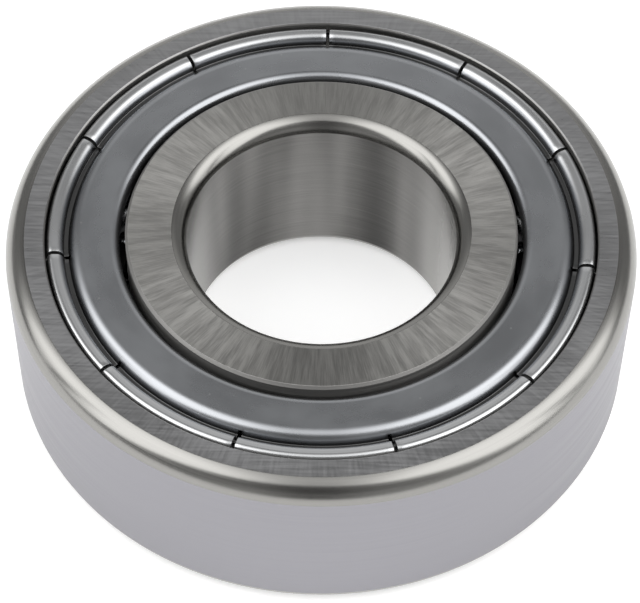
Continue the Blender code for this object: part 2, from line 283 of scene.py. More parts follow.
def marks(tree, coordinates, around, across, detail=2.0, seed=0.0):
    """Noise drawn out into marks, whose size in mm is around, round the axis, and across, the other way."""
    outward, radius, height = coordinates
    reach = PITCH_RADIUS / MM / around
    turned = add(tree, "VectorMath", {"operation": "MULTIPLY", 1: (reach, reach, 0.0)}, {0: outward})
    scaled = [
        add(tree, "Math", {"operation": "MULTIPLY_ADD", 1: 1 / across, 2: seed}, {0: source})
        for source in (radius, height)
    ]
    lifted = add(tree, "CombineXYZ", links={"Z": scaled[0].outputs[0]})
    vector = add(tree, "VectorMath", {"operation": "ADD"}, {0: turned.outputs[0], 1: lifted.outputs[0]})
    noise = {"noise_dimensions": "4D", "Scale": 1.0, "Detail": detail, "Roughness": 0.55}
    drawn = {"Vector": vector.outputs[0], "W": scaled[1].outputs[0]}
    return add(tree, "TexNoise", noise, drawn).outputs["Fac"]


def dress(tree, surface, pattern, limits, tones, roughness, depth):
    """Lets a pattern, between its limits, run a surface's colour, roughness and relief, in metres."""
    span = {**SMOOTH, "From Min": limits[0], "From Max": limits[1]}
    share = add(tree, "MapRange", span, {"Value": pattern})
    tone = add(tree, "Mix", {"data_type": "RGBA", 6: tones[0], 7: tones[1]}, {0: share.outputs["Result"]})
    span.update({"To Min": roughness[0], "To Max": roughness[1]})
    rough = add(tree, "MapRange", span, {"Value": pattern})
    bump = add(tree, "Bump", {"Distance": depth}, {"Height": pattern})
    tree.links.new(tone.outputs[2], surface.inputs["Base Color"])
    tree.links.new(rough.outputs["Result"], surface.inputs["Roughness"])
    tree.links.new(bump.outputs["Normal"], surface.inputs["Normal"])


# Finishes. The real marks are a few micrometres apart, so each pattern is drawn some ten times as coarse
# to show at all.

# The values that a noise mostly keeps between.
NOISE_SPAN = (0.3, 0.7)

# How far the painted shade in the channel reaches past the channel's foot inwards, past it outwards and below
# the flat, and how soon it and the bead's painted highlight fade, the last in the millimetres that polar
# gives.
CHANNEL_SHADE_INWARD = 0.12 * MM
CHANNEL_SHADE_OUTWARD = 0.1 * MM
CHANNEL_SHADE_BELOW_FLAT = 0.25 * MM
SHADE_AND_HIGHLIGHT_FADE = 0.06


def ground_outer_face(colours):
    """Hardened bearing steel, side faces ground flat: even dark grey under fine crossing scratches."""
    material, tree, surface = bare_steel("ground_bearing_steel_outer_face", colours.outer_face, 0.33)
    where = polar(tree)
    place = add(tree, "TexCoord").outputs["Object"]
    lines = marks(tree, where, around=0.12, across=1.3, detail=3.0)
    for turn, seed in ((38, 0.0), (-52, 7.0)):
        stretch = {"Rotation": (0.0, 0.0, math.radians(turn)), "Scale": (0.35 / MM, 7 / MM, 1.0)}
        drawn = add(tree, "Mapping", stretch, {"Vector": place}).outputs[0]
        noise = {"noise_dimensions": "4D", "Scale": 1.0, "Detail": 3.0, "W": seed}
        scratch = add(tree, "TexNoise", noise, {"Vector": drawn}).outputs["Fac"]
        lines = add(tree, "Math", {"operation": "ADD"}, {0: lines, 1: scratch}).outputs[0]
    cloud = marks(tree, where, around=5.0, across=2.5, detail=1.0, seed=3.0)
    lines = add(tree, "Math", {"operation": "ADD"}, {0: lines, 1: cloud}).outputs[0]
    tones = [tinted(colours.outer_face, share) for share in (0.86, 1.12)]
    dress(tree, surface, lines, (1.5, 2.5), tones, (0.27, 0.4), 0.5 * UM)
    return material


def ground_inner_face(colours):
    """Bearing steel ground across the ring: warm grey, with radial streaks that brighten to each side."""
    material, tree, surface = bare_steel(
        "ground_bearing_steel_inner_face", colours.inner_face, 0.36, anisotropic=0.85
    )
    where = polar(tree)
    fine = marks(tree, where, around=0.06, across=1.0, detail=3.0)
    broad = marks(tree, where, around=0.5, across=2.5, detail=3.0, seed=5.0)
    streaks = add(tree, "Math", {"operation": "ADD"}, {0: fine, 1: broad}).outputs[0]
    tones = [tinted(colours.inner_face, share) for share in (0.84, 1.14)]
    dress(tree, surface, streaks, (0.7, 1.3), tones, (0.3, 0.42), 0.5 * UM)
    return material


def lined_steel(name, hex_value, roughness, depth, contrast, broad=(16.0, 0.3), fineness=1.0):
    """Steel with fine marks running round the axis, which draw each reflection out across them.

    Broad is the size in mm, round the axis and across, of the slower change under the fine marks, and
    fineness is how much the fine marks count against it.
    """
    material, tree, surface = bare_steel(name, hex_value, roughness, anisotropic=0.5, turn=0.25)
    where = polar(tree)
    fine = marks(tree, where, around=7.0, across=0.05, detail=3.0)
    slow = marks(tree, where, around=broad[0], across=broad[1], seed=4.0)
    lines = add(tree, "Math", {"operation": "MULTIPLY_ADD", 1: fineness}, {0: fine, 2: slow}).outputs[0]
    middle = (1 + fineness) / 2
    limits = (middle - 0.3, middle + 0.3)
    tones = [tinted(hex_value, share) for share in (1 - contrast, 1 + contrast)]
    dress(tree, surface, lines, limits, tones, (roughness * 0.8, roughness * 1.2), depth)
    return material


def ground_cylinder(colours):
    """Centreless-ground outside diameter: slightly cool grey, nearly matt, with faint lines round it."""
    return lined_steel("ground_bearing_steel_cylinder", colours.cylinder, 0.38, 0.6 * UM, 0.06)


def turned_corner_steel(colours):
    """Corners turned and then tumbled: smoother than the ground faces, so they carry bright bands."""
    return lined_steel("tumbled_bearing_steel_corner", colours.corner, 0.22, 0.4 * UM, 0.06)


def ground_bore(colours):
    """Internally ground bore: grey with fine lines round it, and strong upright light and dark zones that are
    painted reflections of the bright sides and the dark camera side.
    """
    return lined_steel(
        "ground_bearing_steel_bore", colours.bore, 0.24, 0.4 * UM, 0.75, broad=(8.5, 40.0), fineness=0.15
    )


def honed_raceway(colours):
    """Honed raceway: bright, with only the faintest lines."""
    return lined_steel("honed_bearing_steel_raceway", colours.raceway, 0.12, 0.3 * UM, 0.05)


def turned_shoulder(colours):
    """Hard-turned shoulder beside a shield: nearly matt, so it catches what light falls in the gap."""
    return lined_steel("turned_bearing_steel_shoulder", colours.shoulder, 0.55, 1.5 * UM, 0.1)


def turned_recess(colours):
    """Hard-turned recess: duller, with clearer lines."""
    return lined_steel("turned_bearing_steel_recess", colours.recess, 0.38, 2.0 * UM, 0.15)


def painted_channel_shade(tree, where, channel):
    """A socket for the share of painted shade: full inside the channel's radii and at its foot, none at its
    rim.
    """
    first, last, foot, rim = (size / MM for size in channel)
    height = add(tree, "Math", {"operation": "ABSOLUTE"}, {0: where[2]}).outputs[0]
    shade_share = None
    for source, full, none in (
        (where[1], first + SHADE_AND_HIGHLIGHT_FADE, first - SHADE_AND_HIGHLIGHT_FADE),
        (where[1], last - SHADE_AND_HIGHLIGHT_FADE, last + SHADE_AND_HIGHLIGHT_FADE),
        (height, foot, rim),
    ):
        edges = {**SMOOTH, "From Min": none, "From Max": full}
        inside = add(tree, "MapRange", edges, {"Value": source}).outputs[0]
        if shade_share:
            inside = add(tree, "Math", {"operation": "MULTIPLY"}, {0: inside, 1: shade_share}).outputs[0]
        shade_share = inside
    return shade_share


def cold_rolled_sheet(colours, channel):
    """Cold-rolled strip steel, pressed: satin grey, softly clouded, with a few bright specks from handling.

    Painted shade darkens the narrow channel, whose first and last radius and foot and rim height are given,
    and a painted highlight lightens the bead outside it.
    """
    material, tree, surface = bare_steel("cold_rolled_sheet_steel", colours.shield, 0.27)
    where = polar(tree)
    cloud = marks(tree, where, around=4.0, across=2.4, detail=2.0)
    grain = marks(tree, where, around=0.3, across=0.16, detail=2.0, seed=2.0)
    pattern = add(tree, "Math", {"operation": "MULTIPLY_ADD", 1: 0.12}, {0: grain, 2: cloud}).outputs[0]
    tones = [tinted(colours.shield, share) for share in (0.9, 1.06)]
    dress(tree, surface, pattern, (0.3, 0.82), tones, (0.24, 0.31), 0.1 * UM)
    place = add(tree, "TexCoord").outputs["Object"]
    nearest = add(tree, "TexVoronoi", {"feature": "F1", "Scale": 0.8 / MM}, {"Vector": place})
    on_speck = {"From Min": 0.03, "From Max": 0.06, "To Min": 0.6, "To Max": 0.0}
    speck = add(tree, "MapRange", on_speck, {"Value": nearest.outputs["Distance"]}).outputs[0]
    # The bead outside the channel is lightened: a painted highlight for the box light that its rounded crest
    # catches.
    last = channel[1] / MM
    edges = {**SMOOTH, "From Min": last, "From Max": last + 3 * SHADE_AND_HIGHLIGHT_FADE}
    painted_bead_highlight = add(tree, "MapRange", edges, {"Value": where[1]}).outputs[0]
    shade_share = painted_channel_shade(tree, where, channel)
    hue = surface.inputs["Base Color"].links[0].from_socket
    # Mixes in the handling specks, the bead's painted highlight and the channel's painted shade.
    for share, cover in ((speck, colours.speck_and_painted_highlight), (painted_bead_highlight, colours.speck_and_painted_highlight), (shade_share, colours.painted_shade)):
        hue = add(tree, "Mix", {"data_type": "RGBA", 7: linear(cover)}, {0: share, 6: hue}).outputs[2]
    tree.links.new(hue, surface.inputs["Base Color"])
    return material


def lapped_ball(colours):
    """Lapped ball: a near mirror, with the faintest haze."""
    material, tree, surface = bare_steel("lapped_bearing_steel_ball", colours.ball, 0.06)
    place = add(tree, "TexCoord").outputs["Object"]
    haze = add(tree, "TexNoise", {"Scale": 0.9 / MM, "Detail": 3.0}, {"Vector": place}).outputs["Fac"]
    tones = [tinted(colours.ball, share) for share in (0.97, 1.03)]
    dress(tree, surface, haze, NOISE_SPAN, tones, (0.04, 0.09), 0.05 * UM)
    return material


def pressed_strip(colours):
    """Pressed low-carbon strip: soft grey with rolling grain and slight clouding from the tumbling barrel."""
    material, tree, surface = bare_steel("pressed_strip_steel", colours.cage, 0.36)
    grain = marks(tree, polar(tree), around=0.3, across=0.15, detail=3.0)
    tones = [tinted(colours.cage, share) for share in (0.85, 1.0)]
    dress(tree, surface, grain, NOISE_SPAN, tones, (0.3, 0.42), 1.0 * UM)
    return material


def headed_rivet(colours):
    """Cold-headed rivet steel: brighter than the strip, polished by the heading tool."""
    material, tree, surface = bare_steel("cold_headed_rivet_steel", colours.rivet, 0.26)
    place = add(tree, "TexCoord").outputs["Object"]
    mottle = add(tree, "TexNoise", {"Scale": 3.0 / MM, "Detail": 3.0}, {"Vector": place}).outputs["Fac"]
    tones = [tinted(colours.rivet, share) for share in (0.92, 1.04)]
    dress(tree, surface, mottle, NOISE_SPAN, tones, (0.2, 0.34), 0.4 * UM)
    return material


# Shapes


class Bend:
    """A corner of an outline: its place (r, z) and the radius of the arc that rounds it."""

    def __init__(self, r, z, radius=0.0):
        self.place = Vector((r, z))
        self.radius = radius


# How finely the pieces are divided.
ARC_STEP = math.radians(11)
RACEWAY_STEPS = 28
BALL_SUBDIVISIONS = 5
DOME_STEPS = 8
RIVET_SEGMENTS = 48
TABLE_SEGMENTS = 64

# Steps of the cage's strip along each half pocket, round its foot, along half a web, and across.
POCKET_STEPS = 12
BEND_STEPS = 4
WEB_STEPS = 7
STRIP_STEPS = 16

# A spin's settings for turning about the bearing's axis.
ABOUT_Z = {"cent": (0.0, 0.0, 0.0), "axis": (0.0, 0.0, 1.0), "dvec": (0.0, 0.0, 0.0)}

# Distances and angles that keep the meshes clean.
HOLD = 0.015 * MM
MERGE = 0.5 * UM
ROUNDING = 1e-6
CUT_EDGE_ANGLE = math.radians(60)

TAB_SEED = 11
TIP_SHARE = 0.3
TABLE_RADIUS = 2.0
TABLE_GAP = 0.02 * MM
CLIP_START = 10 * MM


def outline(bends, closed=True):
    """Points (r, z) along the bends, each rounded by its arc.

    A point is added just outside each arc, which keeps the straight stretches flat under smooth shading.
    """
    points = []
    last = len(bends) - 1
    for i, bend in enumerate(bends):
        if bend.radius == 0 or (not closed and i in (0, last)):
            points.append(bend.place)
            continue
        back = (bends[i - 1].place - bend.place).normalized()
        ahead = (bends[(i + 1) % len(bends)].place - bend.place).normalized()
        half = back.angle(ahead) / 2
        reach = bend.radius / math.tan(half)
        middle = bend.place + (back + ahead).normalized() * bend.radius / math.sin(half)
        first = bend.place + back * reach - middle
        final = bend.place + ahead * reach - middle
        steps = max(2, math.ceil((math.pi - 2 * half) / ARC_STEP))
        points.append(middle + first + back * HOLD)
        spokes = [first.slerp(final, k / steps).normalized() for k in range(steps + 1)]
        points += [middle + spoke * bend.radius for spoke in spokes]
        points.append(middle + final + ahead * HOLD)
    return points


def mirrored(bends):
    """The same bends below the mid-plane, in the order that carries the outline on."""
    return [Bend(bend.place.x, -bend.place.y, bend.radius) for bend in reversed(bends)]


def turned_corner(radius, rings, size, side):
    """A turned corner from the side face to the cylinder: side +1 is outside a ring, and -1 is in a bore."""
    lead = rings.corner_lead
    bend = size / (math.cos(lead) - math.sin(lead))
    inset = bend * math.cos(lead)
    top = rings.width / 2
    start = Vector((radius - side * (inset - bend * math.sin(lead)), top))
    slope = Vector((side * math.cos(lead), -math.sin(lead)))
    crest = start + slope * bend * math.tan(math.pi / 4 - lead)
    end = Vector((radius, top - inset + bend * math.sin(lead)))
    edge = rings.edge_bend
    # The arc is a hair smaller than the whole corner, which leaves room for the edge on each side of it.
    return [Bend(*start, edge), Bend(*crest, 0.97 * bend), Bend(*end, edge)]


def raceway(centre_radius, radius, depth, facing):
    """A raceway's arc from its top edge down: facing +1 is in the outer ring, and -1 in the inner one."""
    half = math.acos(1 - depth / radius)
    found = []
    for k in range(RACEWAY_STEPS + 1):
        turn = half * (1 - 2 * k / RACEWAY_STEPS)
        found.append(Bend(centre_radius + facing * radius * math.cos(turn), radius * math.sin(turn)))
    return found


def profile_mesh(points, closed):
    """A bmesh that holds the outline as a chain of edges in the XZ plane, at +X."""
    shape = bmesh.new()
    chain = [shape.verts.new((point.x, 0.0, point.y)) for point in points]
    for first, second in zip(chain, chain[1:] + (chain[:1] if closed else [])):
        shape.edges.new((first, second))
    return shape


def spin_round(points, segments, closed=True):
    """The outline spun once round the Z axis, as a bmesh with its faces pointing out.

    An outline that isn't closed starts and ends on the axis.
    """
    shape = profile_mesh(points, closed)
    whole = shape.verts[:] + shape.edges[:]
    bmesh.ops.spin(shape, geom=whole, angle=math.tau, steps=segments, use_merge=True, **ABOUT_Z)
    closed_seams(shape)
    return shape


def closed_seams(shape):
    """Merges the points that meet at seams and poles, and points every face outwards."""
    bmesh.ops.remove_doubles(shape, verts=shape.verts, dist=MERGE)
    bmesh.ops.recalc_face_normals(shape, faces=shape.faces)


def finished(name, shape, materials, sharp_above=35):
    """Makes the bmesh an object, shaded smooth except at its sharp edges."""
    mesh = bpy.data.meshes.new(name)
    shape.to_mesh(mesh)
    shape.free()
    for material in materials:
        mesh.materials.append(material)
    mesh.shade_smooth()
    mesh.set_sharp_from_angle(angle=math.radians(sharp_above))
    obj = bpy.data.objects.new(name, mesh)
    bpy.context.scene.collection.objects.link(obj)
    return obj


def thicken(obj, sizes, offset, even):
    """Gives a surface its sheet's thickness and rounds the cut edges. Offset -1 keeps the outer skin."""
    sheet = obj.modifiers.new("sheet", "SOLIDIFY")
    sheet.thickness = sizes.sheet
    sheet.offset = offset
    sheet.use_even_offset = even
    rounding = obj.modifiers.new("cut_edges", "BEVEL")
    rounding.width = sizes.cut_edge
    rounding.segments = 2
    rounding.limit_method = "ANGLE"
    rounding.angle_limit = CUT_EDGE_ANGLE


def place_piece(obj, body, slot, *nodes):
    """Says which body a piece rides on and which CAD nodes it stands for, which it hides; the finish slot is
    not used.
    """
    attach(obj, body)
    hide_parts(*nodes)


def centre_of(face):
    """The face's middle as its radius and its height."""
    middle = face.calc_center_median()
    return middle.xy.length, abs(middle.z)


class Radii:
    """Radii that follow from the sizes."""

    def __init__(self, context):
        rings = context.scene.bearing_rings
        cage = context.scene.bearing_cage
        self.pitch = (rings.bore + rings.outside) / 4
        self.groove = rings.conformity * cage.ball
        self.inner_race = self.pitch - cage.ball / 2 - rings.ball_clearance
        self.outer_race = self.pitch + cage.ball / 2 + rings.ball_clearance
        self.inner_shoulder = self.inner_race + rings.inner_groove
        self.outer_shoulder = self.outer_race - rings.outer_groove
        self.recess = self.outer_shoulder + rings.seat_width


class BEARING_OT_outer_ring(bpy.types.Operator):
    """Turn the outer ring with its shield recesses and raceway"""

    bl_idname = "bearing.outer_ring"
    bl_label = "Outer Ring"

    def execute(self, context):
        rings = context.scene.bearing_rings
        colours = context.scene.bearing_colours
        radii = Radii(context)
        edge = rings.edge_bend
        top = rings.width / 2
        corner = turned_corner(rings.outside / 2, rings, rings.outer_corner, side=1)
        recess = [
            Bend(radii.outer_shoulder, top - rings.seat_depth, edge),
            Bend(radii.recess + rings.undercut, top - rings.seat_depth, edge),
            Bend(radii.recess, top - rings.recess_lip, edge),
            Bend(radii.recess, top - rings.recess_break, edge),
            Bend(radii.recess + rings.recess_break, top, edge),
        ]
        groove = raceway(radii.outer_race - radii.groove, radii.groove, rings.outer_groove, facing=1)
        ring_bends = corner + mirrored(corner) + mirrored(recess) + groove[::-1] + recess
        shape = spin_round(outline(ring_bends), rings.segments)
        corner_start = corner[0].place.x
        corner_foot = corner[2].place.y
        groove_top = groove[0].place.y
        for face in shape.faces:
            radius, height = centre_of(face)
            if radius > corner_start and height > corner_foot:
                face.material_index = 1
            elif radius > corner_start:
                face.material_index = 2
            elif radius < radii.recess and height < groove_top:
                face.material_index = 3
            elif height < top - rings.recess_break / 2:
                face.material_index = 4
        finishes = (ground_outer_face, turned_corner_steel, ground_cylinder, honed_raceway, turned_recess)
        ring = finished("turned_outer_ring", shape, [finish(colours) for finish in finishes])
        place_piece(ring, "outer", "outer_ring_steel", "outer_ring")
        return {"FINISHED"}


class BEARING_OT_inner_ring(bpy.types.Operator):
    """Turn the inner ring with its bore corners and raceway"""

    bl_idname = "bearing.inner_ring"
    bl_label = "Inner Ring"

    def execute(self, context):
        rings = context.scene.bearing_rings
        colours = context.scene.bearing_colours
        radii = Radii(context)
        edge = rings.edge_bend
        top = rings.width / 2
        corner = turned_corner(rings.bore / 2, rings, rings.bore_corner, side=-1)[::-1]
        shoulder = [
            Bend(radii.inner_shoulder - rings.shoulder_break, top, edge),
            Bend(radii.inner_shoulder, top - rings.shoulder_break, edge),
        ]
        groove = raceway(radii.inner_race + radii.groove, radii.groove, rings.inner_groove, facing=-1)
        ring_bends = corner + shoulder + groove + mirrored(shoulder) + mirrored(corner)
        shape = spin_round(outline(ring_bends), rings.segments)
        corner_end = corner[2].place.x
        corner_foot = corner[0].place.y
        shoulder_start = shoulder[0].place.x
        groove_top = groove[0].place.y
        for face in shape.faces:
            radius, height = centre_of(face)
            if radius < corner_end:
                face.material_index = 1 if height > corner_foot else 2
            elif radius > shoulder_start and height > groove_top:
                face.material_index = 4
            elif height < groove_top:
                face.material_index = 3
        finishes = (ground_inner_face, turned_corner_steel, ground_bore, honed_raceway, turned_shoulder)
        ring = finished("turned_inner_ring", shape, [finish(colours) for finish in finishes])
        place_piece(ring, "inner", "inner_ring_steel", "inner_ring")
        return {"FINISHED"}


def shield_bends(shields, rings, radii):
    """The shield's outer skin from its lip beside the inner ring out to the hook, and the slots' start."""
    bore = radii.inner_shoulder + shields.bore_gap
    outside = radii.recess - shields.bead_gap
    inside = outside - shields.bead_width
    step = inside - shields.channel_width
    top = rings.width / 2
    flat = top - shields.inset
    floor = flat - shields.step_height
    edge, tilt = shields.bead_edge, math.tan(shields.bead_tilt)
    crest = top - shields.bead_inset - edge + edge / math.cos(shields.bead_tilt) + edge * tilt
    hook_start = top - shields.hook_depth
    hook_end = top - rings.seat_depth + shields.seat_clearance + shields.sheet * math.cos(shields.hook_angle)
    hook_reach = (hook_start - hook_end) / math.tan(shields.hook_angle)
    bends = [
        Bend(bore, flat - shields.lip_bend - shields.lip_length),
        Bend(bore, flat, shields.lip_bend),
        Bend(step - shields.step_height / math.tan(shields.step_slope), flat, shields.step_bend),
        Bend(step, floor, shields.channel_bend),
        Bend(inside, floor, shields.channel_bend),
        Bend(inside, crest - shields.bead_width * tilt, shields.bead_back),
        Bend(outside, crest, edge),
        Bend(outside, hook_start),
        Bend(outside + hook_reach, hook_end),
    ]
    # Where the painted shade lies: the channel's first and last radius, and its foot and rim height.
    channel = (step - CHANNEL_SHADE_INWARD, inside + CHANNEL_SHADE_OUTWARD, floor, flat - CHANNEL_SHADE_BELOW_FLAT)
    return bends, step - shields.slot_run_in, outside, channel


def spin_tabs(points, shields, slot_angle):
    """The open outline spun round the axis with a narrow column at each slot. The first slot is on +Y."""
    shape = profile_mesh(points, closed=False)
    turn_to_slot = Matrix.Rotation(math.pi / 2 + slot_angle / 2, 4, "Z")
    bmesh.ops.transform(shape, verts=shape.verts, matrix=turn_to_slot)
    edge = shape.edges[:]
    tab_angle = math.tau / shields.slots - slot_angle
    for _ in range(shields.slots):
        for sweep, steps in ((tab_angle, shields.tab_steps), (slot_angle, 1)):
            ends = [e for e in edge if isinstance(e, bmesh.types.BMEdge)]
            ends += list({v for e in ends for v in e.verts})
            made = bmesh.ops.spin(shape, geom=ends, angle=sweep, steps=steps, **ABOUT_Z)
            edge = made["geom_last"]
    closed_seams(shape)
    return shape


def cut_slots(shape, shields, slot_start, slot_angle):
    """Takes away the faces outside the slots' start in each slot's column."""
    near_slot = slot_angle / 10
    pitch = math.tau / shields.slots
    cut = []
    for face in shape.faces:
        centre = face.calc_center_median()
        place = (math.atan2(centre.y, centre.x) - math.pi / 2 + pitch / 2) % pitch - pitch / 2
        if abs(place) < near_slot and centre.xy.length > slot_start:
            cut.append(face)
    bmesh.ops.delete(shape, geom=cut, context="FACES")


def crimp_tabs(shape, shields, slot_start, bead_outside):
    """Lifts and tips each tab a little, as no two are pressed into the recess quite alike."""
    chance = random.Random(TAB_SEED)
    pitch = math.tau / shields.slots
    tabs = [(chance.random(), chance.uniform(-1, 1)) for _ in range(shields.slots)]
    for vert in shape.verts:
        share = (vert.co.xy.length - slot_start) / (bead_outside - slot_start)
        if share <= 0:
            continue
        place = (math.atan2(vert.co.y, vert.co.x) - math.pi / 2) % math.tau / pitch
        lift, tip = tabs[int(place) % shields.slots]
        across = 2 * (place - int(place)) - 1
        ease = min(share, 1.0) ** 2 * (3 - 2 * min(share, 1.0))
        vert.co.z += shields.tab_lift * ease * (lift + TIP_SHARE * tip * across)


class BEARING_OT_shields(bpy.types.Operator):
    """Press the two slotted shields and crimp their tabs"""

    bl_idname = "bearing.shields"
    bl_label = "Shields"

    def execute(self, context):
        rings = context.scene.bearing_rings
        shields = context.scene.bearing_shields
        bends, slot_start, outside, channel = shield_bends(shields, rings, Radii(context))
        slot_angle = shields.slot_width / outside
        material = cold_rolled_sheet(context.scene.bearing_colours, channel)
        for name, node, turn in (
            ("pressed_shield_upper", "shield_upper", 0.0),
            ("pressed_shield_lower", "shield_lower", math.pi),
        ):
            shape = spin_tabs(outline(bends, closed=False), shields, slot_angle)
            cut_slots(shape, shields, slot_start, slot_angle)
            crimp_tabs(shape, shields, slot_start, outside)
            bmesh.ops.transform(shape, verts=shape.verts, matrix=Matrix.Rotation(turn, 4, "Y"))
            shield = finished(name, shape, [material], sharp_above=60)
            thicken(shield, shields, offset=-1, even=True)
            place_piece(shield, "outer", "shield_steel", node)
        return {"FINISHED"}


class BEARING_OT_balls(bpy.types.Operator):
    """Make the lapped balls"""

    bl_idname = "bearing.balls"
    bl_label = "Balls"

    def execute(self, context):
        cage = context.scene.bearing_cage
        radii = Radii(context)
        material = lapped_ball(context.scene.bearing_colours)
        for k in range(BALL_COUNT):
            shape = bmesh.new()
            turn = Matrix.Rotation(k * math.tau / BALL_COUNT, 4, "Z")
            place = turn @ Matrix.Translation((radii.pitch, 0.0, 0.0))
            bmesh.ops.create_icosphere(
                shape, subdivisions=BALL_SUBDIVISIONS, radius=cage.ball / 2, matrix=place
            )
            ball = finished(f"lapped_ball_{k + 1}", shape, [material])
            place_piece(ball, f"ball_{k + 1}", "ball_steel", f"ball_{k + 1}")
        return {"FINISHED"}


def pressed_half(cage, radii):
    """The middle surface of the cage's upper half: a flat strip pressed up over each ball.

    A grid is wrapped round the axis. At each radius its points go down the pocket's sphere, round the bend
    at its foot and along the flat web to the rivet half-way to the next ball.
    """
    pocket = cage.ball / 2 + cage.pocket_clearance + cage.sheet / 2
    level = (cage.joint_gap + cage.sheet) / 2
    bend = cage.foot_bend + cage.sheet / 2
    foot = math.asin((level + bend) / (pocket + bend))
    bend_reach = (pocket + bend) * math.cos(foot)
    inside = radii.inner_shoulder + cage.side_gap
    ribbon = radii.outer_shoulder - radii.inner_shoulder - 2 * cage.side_gap
    shape = bmesh.new()
    steps = 2 * BALL_COUNT * (POCKET_STEPS + BEND_STEPS + WEB_STEPS)
    bmesh.ops.create_grid(shape, x_segments=steps, y_segments=STRIP_STEPS, size=0.5)
    bend_share = POCKET_STEPS * 2 * BALL_COUNT / steps
    web_share = bend_share + BEND_STEPS * 2 * BALL_COUNT / steps
    for vert in shape.verts:
        radius = inside + (vert.co.y + 0.5) * ribbon
        place = (vert.co.x + 0.5) * BALL_COUNT
        share = 2 * abs(place - round(place))
        if share < web_share + ROUNDING:
            if share < bend_share + ROUNDING:
                crown = math.acos(abs(radius - radii.pitch) / pocket)
                slope = crown + (foot - crown) * share / bend_share
                reach, height = pocket * math.cos(slope), pocket * math.sin(slope)
            else:
                done = (share - bend_share) / (web_share - bend_share)
                slope = foot + (math.pi / 2 - foot) * done
                reach = bend_reach - bend * math.cos(slope)
                height = level + bend - bend * math.sin(slope)
            turn = angle_at(radius, reach, radii.pitch)
        else:
            start = angle_at(radius, bend_reach, radii.pitch)
            done = (share - web_share) / (1 - web_share)
            turn, height = start + (math.pi / BALL_COUNT - start) * done, level
        turn = round(place) * math.tau / BALL_COUNT + math.copysign(turn, place - round(place))
        vert.co = (radius * math.cos(turn), radius * math.sin(turn), height)
    bmesh.ops.remove_doubles(shape, verts=shape.verts, dist=MERGE)
    return shape


def angle_at(radius, reach, pitch):
    """The angle round the axis, from a ball's centre, of the point at that radius and reach from the ball."""
    cosine = (radius**2 + pitch**2 - reach**2) / (2 * radius * pitch)
    return math.acos(min(1.0, cosine))


def rivet_places(radii):
    """Turns and shifts a shape from the origin to each rivet's place, half-way between two balls."""
    half = math.pi / BALL_COUNT
    out = Matrix.Translation((radii.pitch, 0.0, 0.0))
    return [Matrix.Rotation((2 * k + 1) * half, 4, "Z") @ out for k in range(BALL_COUNT)]


def punch_holes(shape, radii, hole):
    """Opens a round hole for each rivet: faces over it go, and the edge left is drawn on to the circle."""
    for place in rivet_places(radii):
        middle = place.translation.xy
        over = [f for f in shape.faces if (f.calc_center_median().xy - middle).length < hole]
        bmesh.ops.delete(shape, geom=over, context="FACES")
        for vert in shape.verts:
            offset = vert.co.xy - middle
            if vert.is_boundary and offset.length < 2 * hole:
                vert.co.xy = middle + offset.normalized() * hole


class BEARING_OT_cage(bpy.types.Operator):
    """Press the two halves of the cage and head the rivets that join them"""

    bl_idname = "bearing.cage"
    bl_label = "Cage"

    def execute(self, context):
        cage = context.scene.bearing_cage
        radii = Radii(context)
        strip = pressed_strip(context.scene.bearing_colours)
        for name, node, turn in (
            ("pressed_cage_upper", "cage_half_upper", 0.0),
            ("pressed_cage_lower", "cage_half_lower", math.pi),
        ):
            shape = pressed_half(cage, radii)
            punch_holes(shape, radii, cage.rivet_shank + cage.rivet_clearance)
            bmesh.ops.recalc_face_normals(shape, faces=shape.faces)
            bmesh.ops.transform(shape, verts=shape.verts, matrix=Matrix.Rotation(turn, 4, "X"))
            half = finished(name, shape, [strip])
            thicken(half, cage, offset=0, even=False)
            place_piece(half, "cage", "cage_steel", node)
        self.head_rivets(cage, radii, headed_rivet(context.scene.bearing_colours))
        return {"FINISHED"}

    def head_rivets(self, cage, radii, material):
        """Spins one rivet in each web: a shank with a low dome at each end."""
        seat = cage.joint_gap / 2 + cage.sheet + cage.rivet_clearance
        crown = (cage.rivet_head**2 + cage.head_height**2) / (2 * cage.head_height)
        rim = math.asin(cage.rivet_head / crown)
        dome = []
        for k in range(DOME_STEPS + 1):
            lean = rim * k / DOME_STEPS
            lift = seat + cage.head_height - crown * (1 - math.cos(lean))
            dome.append(Bend(crown * math.sin(lean), lift))
        upper = dome + [Bend(cage.rivet_shank, seat, cage.cut_edge)]
        for k, place in enumerate(rivet_places(radii)):
            shape = spin_round(outline(upper + mirrored(upper), closed=False), RIVET_SEGMENTS, closed=False)
            bmesh.ops.transform(shape, verts=shape.verts, matrix=place)
            rivet = finished(f"headed_rivet_{k + 1}", shape, [material])
            place_piece(rivet, "cage", "rivet_steel", f"rivet_{k + 1}")


class BEARING_OT_stage(bpy.types.Operator):
    """Lay the table and set the soft lights and the camera"""

    bl_idname = "bearing.stage"
    bl_label = "Stage"

    def execute(self, context):
        stage = context.scene.bearing_stage
        shape = bmesh.new()
        under = Matrix.Translation((0.0, 0.0, CAD_BOX[0][2] - TABLE_GAP))
        bmesh.ops.create_circle(
            shape, cap_ends=True, segments=TABLE_SEGMENTS, radius=TABLE_RADIUS, matrix=under
        )
        table = finished("table_top", shape, [opal_acrylic(context.scene.bearing_colours, stage.table)])
        soft_light(context.scene, stage)
        camera(context.scene, stage)
        context.scene.view_settings.view_transform = "Standard"
        return {"FINISHED"}


